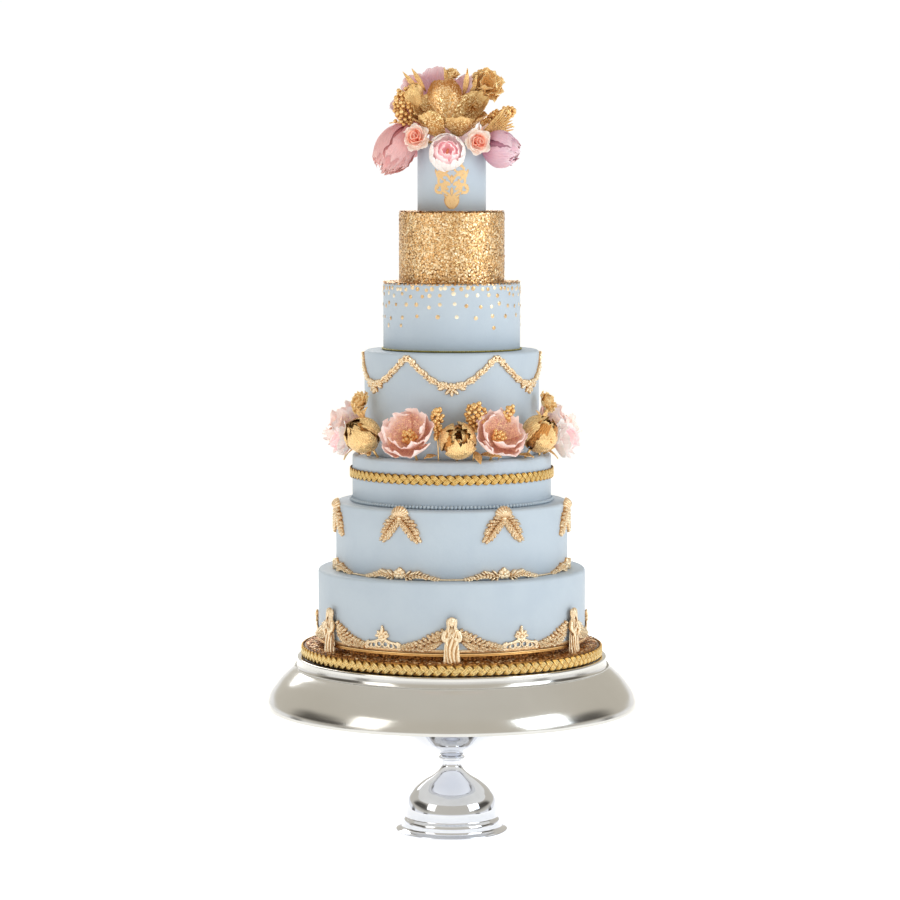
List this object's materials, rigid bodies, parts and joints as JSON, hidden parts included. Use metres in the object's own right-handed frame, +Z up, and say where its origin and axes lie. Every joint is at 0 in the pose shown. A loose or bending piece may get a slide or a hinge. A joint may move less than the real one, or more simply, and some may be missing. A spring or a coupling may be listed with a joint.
{
  "type": "quinceanera cake",
  "caption": "Tall tiered cake in powder blue with gold trims, moulded ornaments and sugar flowers, on a round silver pedestal stand.",
  "frame": {"origin": "middle of the foot's flat underside, on the cake's axis", "axes": "+Z up along the cake's axis, -Y towards the front of the cake, +X to the right seen from the front"},
  "size_m": [0.584, 0.584, 1.2026],
  "materials": {
    "silver": "bright silver plate, polished to a mirror",
    "fondant": "smooth powder-blue rolled icing with a soft satin skin",
    "sequins": "densely set champagne-gold sequins and glitter",
    "braid": "plaited gold metallic gimp",
    "ornament": "moulded sugar paste dusted with rose-gold lustre",
    "gold_petal": "sugar petals brushed with antique-gold lustre",
    "glitter_pink": "pink sugar petals with rose-gold glitter",
    "pink": "matt pink sugar petals",
    "pale_pink": "matt blush-white sugar petals",
    "mauve": "matt mauve sugar petals",
    "cream": "matt cream sugar petals with a peach middle",
    "pearl": "gold pearlised sugar beads"
  },
  "bodies": {
    "root": {"angel_1": "ornament", "angel_2": "ornament", "angel_3": "ornament", "angel_4": "ornament", "angel_5": "ornament", "angel_6": "ornament", "board_braid": "braid", "border_lace": "ornament", "braid_band": "braid", "cake_board": "sequins", "cake_card": "braid", "cord_line": "braid", "leaf_garland": "ornament", "ring_back_globe": "gold_petal", "ring_back_open_left": "glitter_pink", "ring_back_open_right": "glitter_pink", "ring_back_rose_left": "pale_pink", "ring_back_rose_right": "pale_pink", "ring_bud_left": "gold_petal", "ring_bud_right": "gold_petal", "ring_globe_left": "gold_petal", "ring_globe_middle": "gold_petal", "ring_globe_right": "gold_petal", "ring_open_left": "glitter_pink", "ring_open_right": "glitter_pink", "ring_pearls_left": "pearl", "ring_pearls_right": "pearl", "ring_rose_left": "pale_pink", "ring_rose_right": "pale_pink", "stand_pedestal": "silver", "stand_plateau": "silver", "swag_garland": "ornament", "tier_1": "fondant", "tier_2": "sequins", "tier_3": "fondant", "tier_4": "fondant", "tier_5": "fondant", "tier_6": "fondant", "tier_7": "fondant", "top_back_globe": "pink", "top_back_peony": "pale_pink", "top_back_rose": "cream", "top_bud_middle": "gold_petal", "top_globe_left": "pink", "top_globe_right": "mauve", "top_open_behind": "mauve", "top_open_middle": "gold_petal", "top_pearls_left": "pearl", "top_pearls_right": "pearl", "top_peony": "pale_pink", "top_rose_left": "cream", "top_rose_right": "cream", "top_ruffle_right": "gold_petal", "wing_applique_1": "ornament", "wing_applique_2": "ornament", "wing_applique_3": "ornament", "wing_applique_4": "ornament", "wing_applique_5": "ornament", "wing_applique_6": "ornament", "wing_applique_7": "ornament"}
  },
  "joints": []
}
